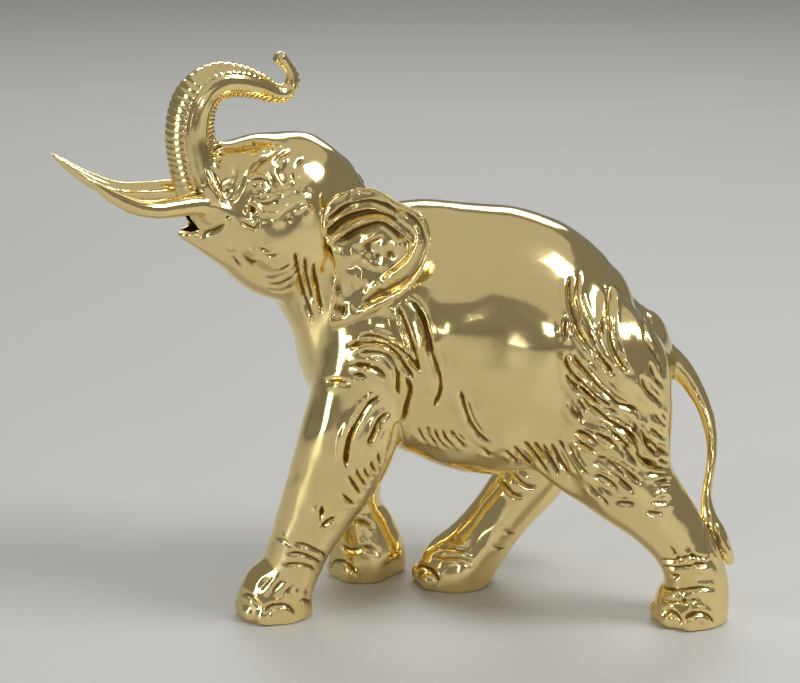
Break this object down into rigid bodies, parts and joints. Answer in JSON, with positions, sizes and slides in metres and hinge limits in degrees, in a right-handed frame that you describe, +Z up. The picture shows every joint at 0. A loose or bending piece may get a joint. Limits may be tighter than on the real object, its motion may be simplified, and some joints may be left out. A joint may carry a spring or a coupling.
{
  "type": "elephant sculpture",
  "caption": "Polished bronze elephant striding with its trunk thrown up and back over its head, tusks forward, ears spread and folds of skin carved on shoulder and haunch.",
  "frame": {"origin": "middle of the overall box, on the floor plane under the soles", "axes": "+Z up, head and tusks towards -X, tail towards +X, the animal's left side towards -Y"},
  "size_m": [0.403, 0.161, 0.3441],
  "materials": {
    "bronze": "polished"
  },
  "bodies": {
    "root": {"elephant": "bronze"}
  },
  "joints": []
}
